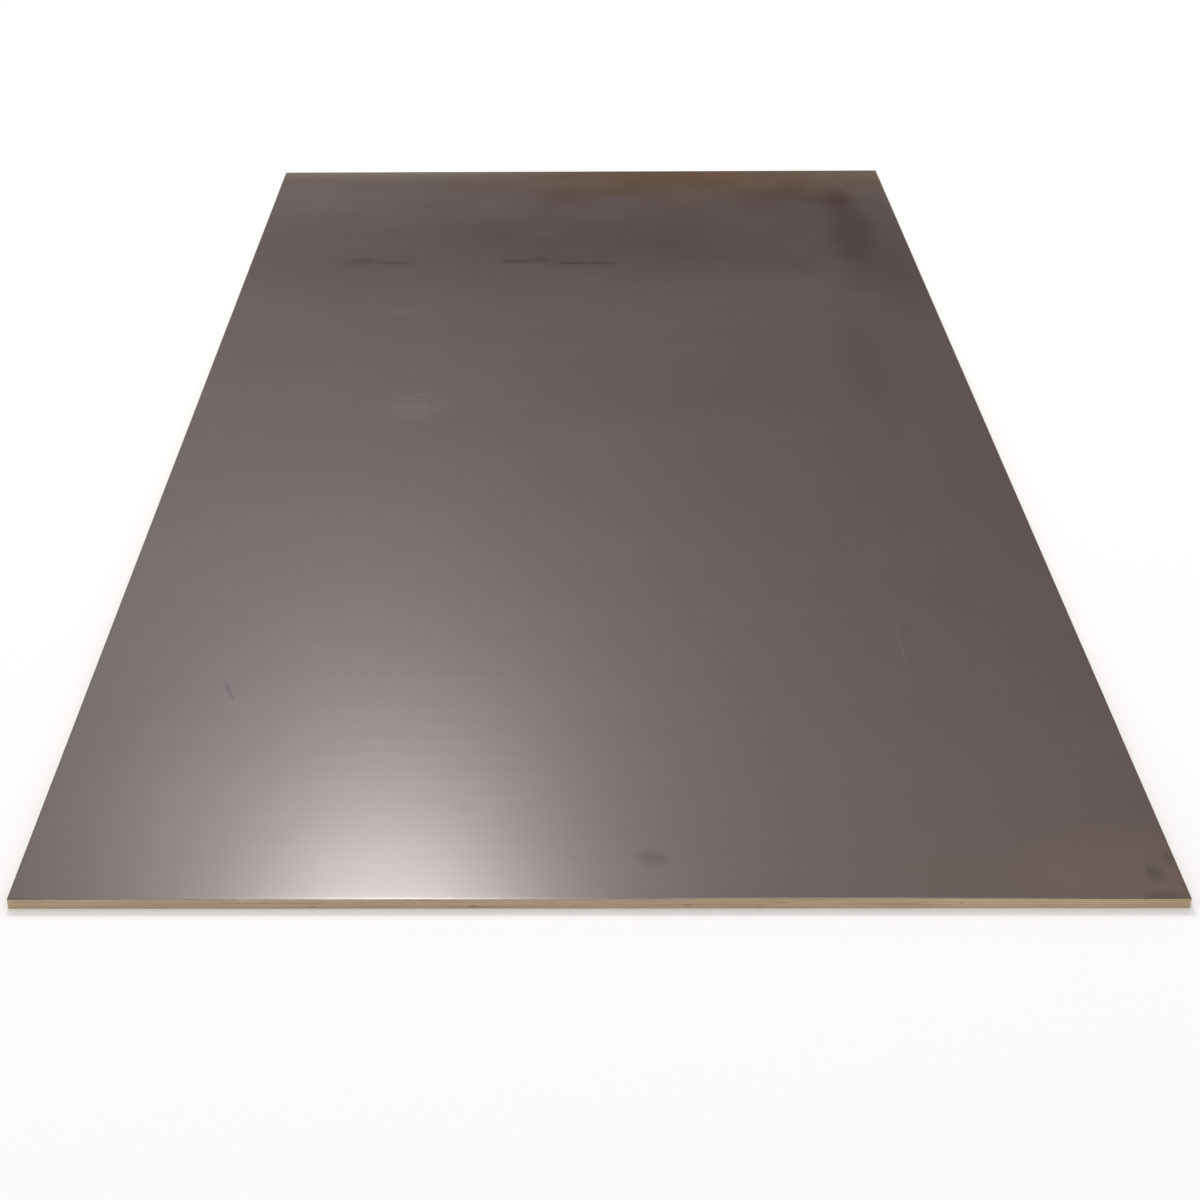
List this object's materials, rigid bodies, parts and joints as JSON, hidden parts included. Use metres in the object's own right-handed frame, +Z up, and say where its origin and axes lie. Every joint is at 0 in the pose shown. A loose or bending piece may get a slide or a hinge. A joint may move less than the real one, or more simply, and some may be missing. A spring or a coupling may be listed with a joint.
{
  "type": "plywood sheet",
  "caption": "Flat rectangular film-faced plywood sheet with a smooth dark brown face and bare sawn edges, for formwork, decking and panelling.",
  "frame": {"origin": "middle of the underside, which rests on the floor", "axes": "+X across the sheet's width, +Y along its length, +Z up through its thickness to the top face"},
  "size_m": [1.25, 2.5, 0.012],
  "materials": {
    "film_faced_plywood": "satin",
    "sawn_edge": "matte"
  },
  "bodies": {
    "root": {"plywood_sheet": "film_faced_plywood"}
  },
  "joints": []
}
